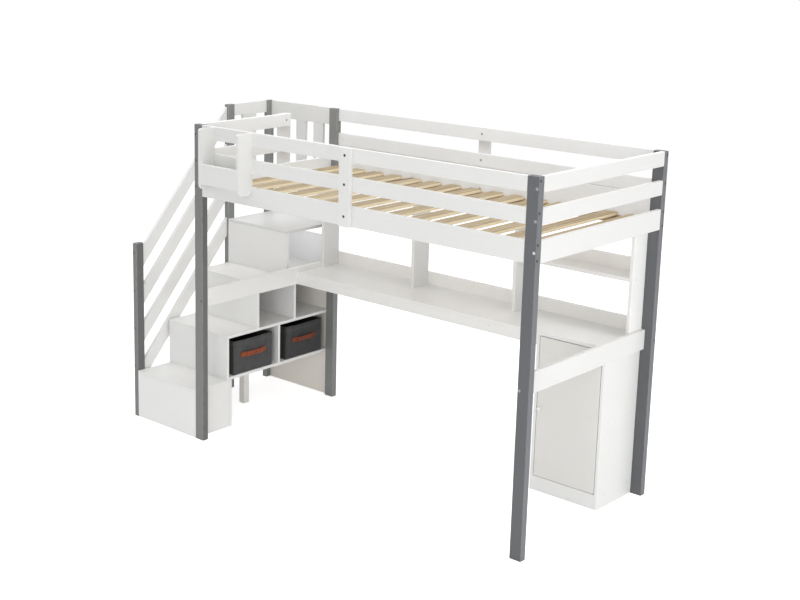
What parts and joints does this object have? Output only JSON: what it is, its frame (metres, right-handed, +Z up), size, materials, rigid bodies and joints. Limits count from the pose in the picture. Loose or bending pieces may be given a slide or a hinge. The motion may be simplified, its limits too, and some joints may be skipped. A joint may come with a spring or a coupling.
{
  "type": "cabin bed with staircase and desk",
  "caption": "High single bed on square posts with a box staircase, a desk with a hutch, a cupboard, pull-out fabric bins and a hanging bedside tray.",
  "frame": {"origin": "bottom centre of the part's bounding box, on the floor", "axes": "+X along the bed from the staircase to the cupboard's end, +Y from the front of the bed to its back, +Z up"},
  "size_m": [2.558, 1.145, 1.66],
  "materials": {
    "grey_paint": "satin grey paint on planed wood",
    "white_paint": "satin white paint on smooth board",
    "pine": "bare planed pine, matte",
    "knob_white": "glossy white",
    "felt": "dark woven non-shiny fabric",
    "strap": "rust-brown strap, satin",
    "nickel": "nickel-plated",
    "dark_steel": "black oxide"
  },
  "bodies": {
    "bed": {"post_front_left": "grey_paint", "post_front_right": "grey_paint", "post_back_right": "grey_paint", "post_back_left": "grey_paint", "newel_post": "grey_paint", "stair_post_middle": "grey_paint", "stair_post_back": "grey_paint", "front_side_rail": "white_paint", "front_guard_rails": "white_paint", "back_side_board": "white_paint", "back_guard_rails": "white_paint", "right_end_board": "white_paint", "right_guard_rails": "white_paint", "left_end_board": "white_paint", "entry_guard_rails": "white_paint", "guard_stiles": "white_paint", "desk_end_rails": "white_paint", "handrail_boards": "white_paint", "landing_end_rails": "white_paint", "landing_back_rails": "white_paint", "landing_slats": "white_paint", "step_1_ends": "white_paint", "step_1_sides": "white_paint", "step_1_tread": "white_paint", "unit_floor": "white_paint", "step_risers": "white_paint", "step_2_tread": "white_paint", "step_3_tread": "white_paint", "step_4_tread": "white_paint", "unit_left_panels": "white_paint", "unit_dividers": "white_paint", "unit_back": "white_paint", "unit_leg": "white_paint", "desk_top": "white_paint", "desk_apron": "white_paint", "desk_cross_rails": "white_paint", "desk_back_board": "white_paint", "hutch_uprights": "white_paint", "upper_shelf": "white_paint", "shelf_back": "white_paint", "cabinet_sides": "white_paint", "cabinet_shelves": "white_paint", "cabinet_back": "white_paint", "cabinet_plinth": "white_paint", "tray_sides": "white_paint", "tray_lips": "white_paint", "tray_floor": "white_paint", "slat_ledgers": "pine", "slats": "pine", "hinge_pins": "nickel", "panel_screws": "nickel", "frame_bolts": "dark_steel"},
    "cupboard_door": {"door": "white_paint", "door_knob": "knob_white"},
    "fabric_bin_1": {"bin_1": "felt", "bin_1_handle": "strap"},
    "fabric_bin_2": {"bin_2": "felt", "bin_2_handle": "strap"}
  },
  "joints": [
    {"name": "door_hinge", "type": "hinge", "parent": "bed", "child": "cupboard_door", "pos_m": [1.196, 0.2185, 0.423], "axis": [0, 0, 1], "range_deg": [0, 90]},
    {"name": "bin_1_slide", "type": "slide", "parent": "bed", "child": "fabric_bin_1", "axis": [1, 0, 0], "range_m": [0, 0.3]},
    {"name": "bin_2_slide", "type": "slide", "parent": "bed", "child": "fabric_bin_2", "axis": [1, 0, 0], "range_m": [0, 0.3]}
  ]
}
